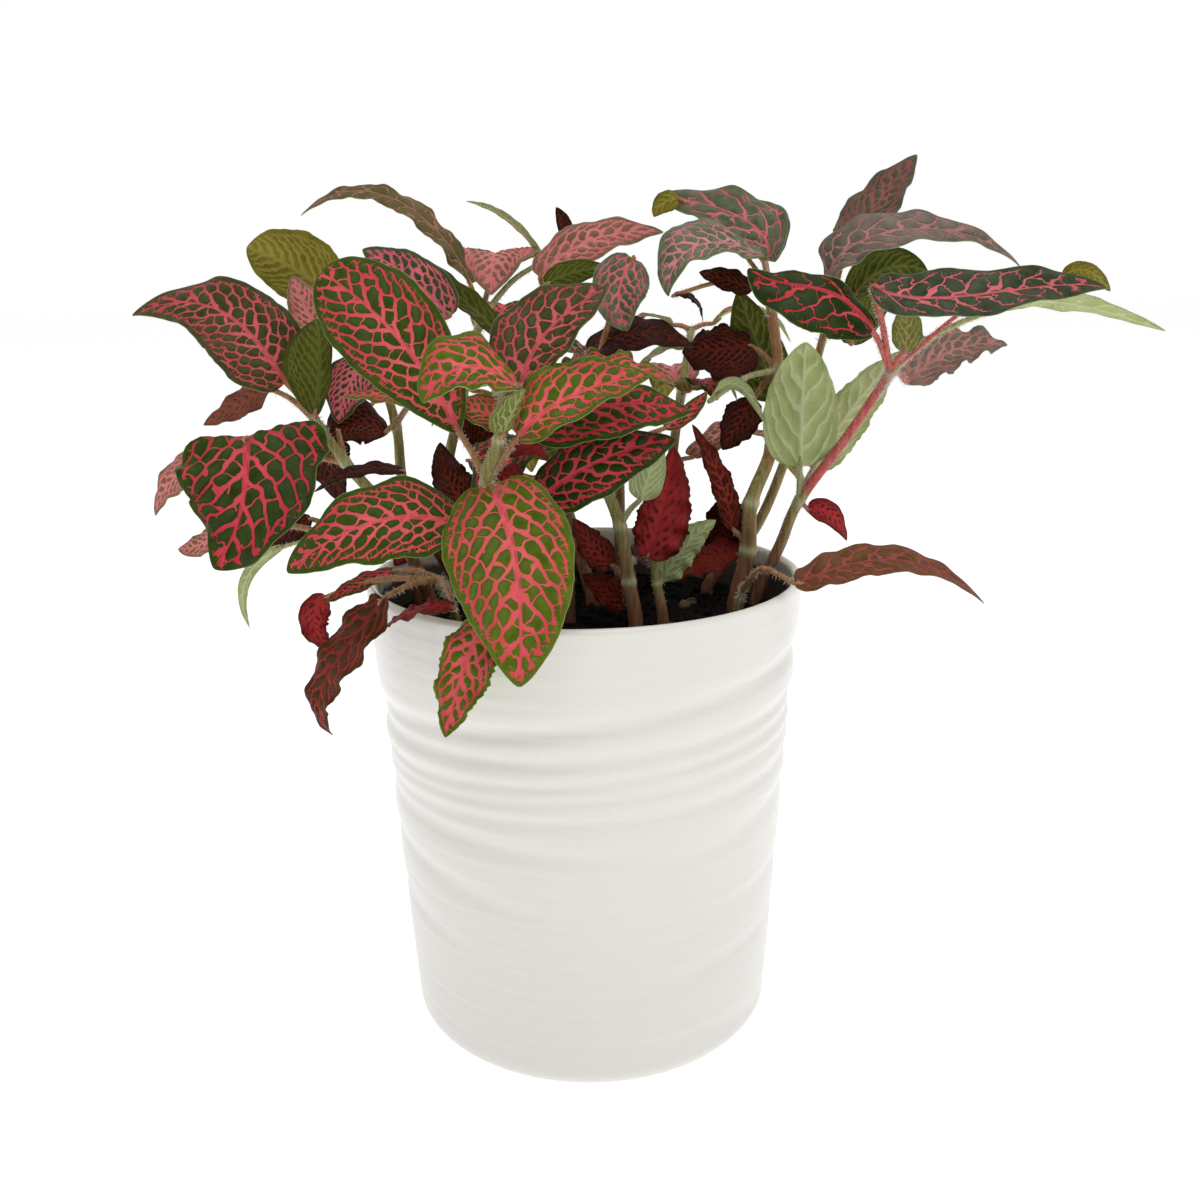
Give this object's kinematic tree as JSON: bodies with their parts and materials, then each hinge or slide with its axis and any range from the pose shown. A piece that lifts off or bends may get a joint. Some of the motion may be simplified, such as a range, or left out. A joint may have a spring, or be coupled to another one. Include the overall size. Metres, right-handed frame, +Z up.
{
  "type": "potted nerve plant",
  "caption": "Small bushy nerve plant with pink-veined leaves, growing from dark peat in a tall, softly ribbed white ceramic pot with a flat base.",
  "frame": {"origin": "centre of the pot's flat base", "axes": "+Z up; -Y towards the side that is seen from the front; +X to the right of that view"},
  "size_m": [0.2992, 0.213, 0.2619],
  "materials": {
    "pot_glaze": "satin",
    "soil": "matte",
    "foliage": "satin"
  },
  "bodies": {
    "root": {"pot": "pot_glaze", "soil": "soil", "shoot_front": "foliage", "shoot_left": "foliage", "shoot_left_back": "foliage", "shoot_top_left": "foliage", "shoot_mid": "foliage", "shoot_mid_right": "foliage", "shoot_right": "foliage", "shoot_right_long": "foliage", "shoot_right_top": "foliage", "shoot_low_right": "foliage", "shoot_low_left": "foliage", "shoot_left_low": "foliage", "shoot_front_low": "foliage", "shoot_mid_back": "foliage", "shoot_back_left": "foliage", "shoot_back": "foliage", "shoot_back_mid": "foliage", "shoot_back_right": "foliage", "shoot_middle": "foliage"}
  },
  "joints": []
}
